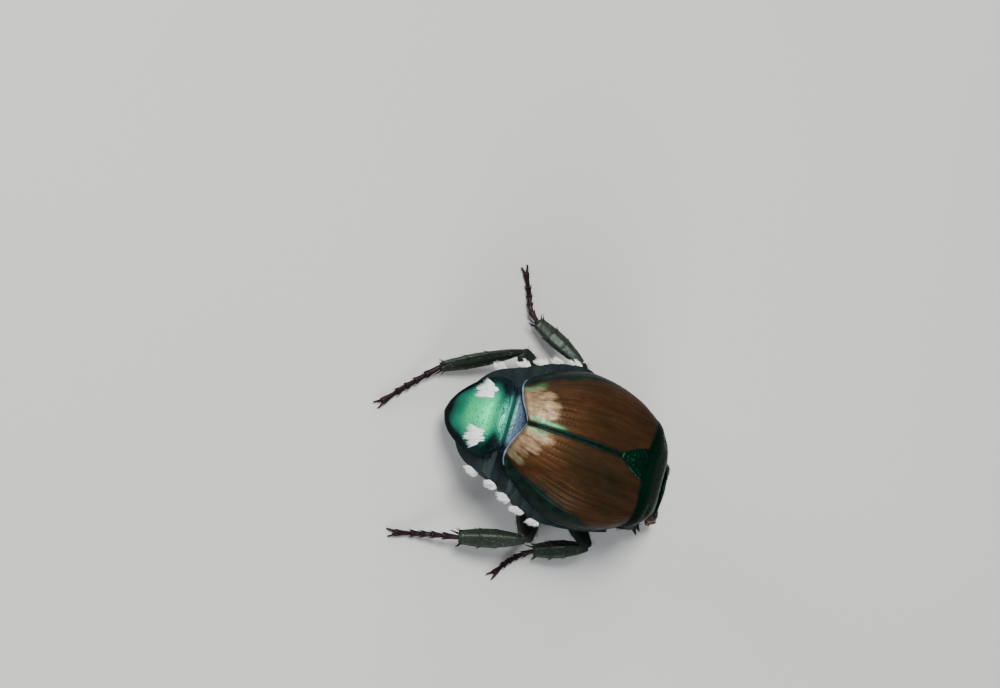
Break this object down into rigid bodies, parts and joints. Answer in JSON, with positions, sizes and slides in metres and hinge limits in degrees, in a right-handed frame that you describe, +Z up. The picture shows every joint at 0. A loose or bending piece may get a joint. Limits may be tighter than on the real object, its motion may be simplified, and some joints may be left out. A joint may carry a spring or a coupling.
{
  "type": "japanese beetle",
  "caption": "Still, life-size scarab beetle standing on its feet: domed oval body with two short wing cases, white hair tufts along the sides, spiny jointed legs.",
  "frame": {"origin": "on the floor, at the centre of the bounding box seen from above", "axes": "the head looks along -Y, +X is the beetle's left side, +Z is up"},
  "size_m": [0.0132, 0.0146, 0.0057],
  "materials": {
    "green_shell": "glossy metallic green cuticle",
    "wing_case": "glossy copper-brown cuticle",
    "leg_shell": "glossy greenish-black cuticle",
    "eye_black": "glossy",
    "feeler_brown": "satin"
  },
  "bodies": {
    "root": {"abdomen": "green_shell", "antenna_left": "feeler_brown", "antenna_right": "feeler_brown", "coxa_front_left": "leg_shell", "coxa_front_right": "leg_shell", "coxa_hind_left": "leg_shell", "coxa_hind_right": "leg_shell", "coxa_middle_left": "leg_shell", "coxa_middle_right": "leg_shell", "elytron_left": "wing_case", "elytron_right": "wing_case", "eye_left": "eye_black", "eye_right": "eye_black", "femur_front_left": "leg_shell", "femur_front_right": "leg_shell", "femur_hind_left": "leg_shell", "femur_hind_right": "leg_shell", "femur_middle_left": "leg_shell", "femur_middle_right": "leg_shell", "head": "green_shell", "palp_left": "feeler_brown", "palp_right": "feeler_brown", "pronotum": "green_shell", "propygidium": "green_shell", "prosternum": "green_shell", "pygidium": "green_shell", "scutellum": "green_shell", "tarsus_front_left": "leg_shell", "tarsus_front_right": "leg_shell", "tarsus_hind_left": "leg_shell", "tarsus_hind_right": "leg_shell", "tarsus_middle_left": "leg_shell", "tarsus_middle_right": "leg_shell", "thorax": "green_shell", "tibia_front_left": "leg_shell", "tibia_front_right": "leg_shell", "tibia_hind_left": "leg_shell", "tibia_hind_right": "leg_shell", "tibia_middle_left": "leg_shell", "tibia_middle_right": "leg_shell"}
  },
  "joints": []
}
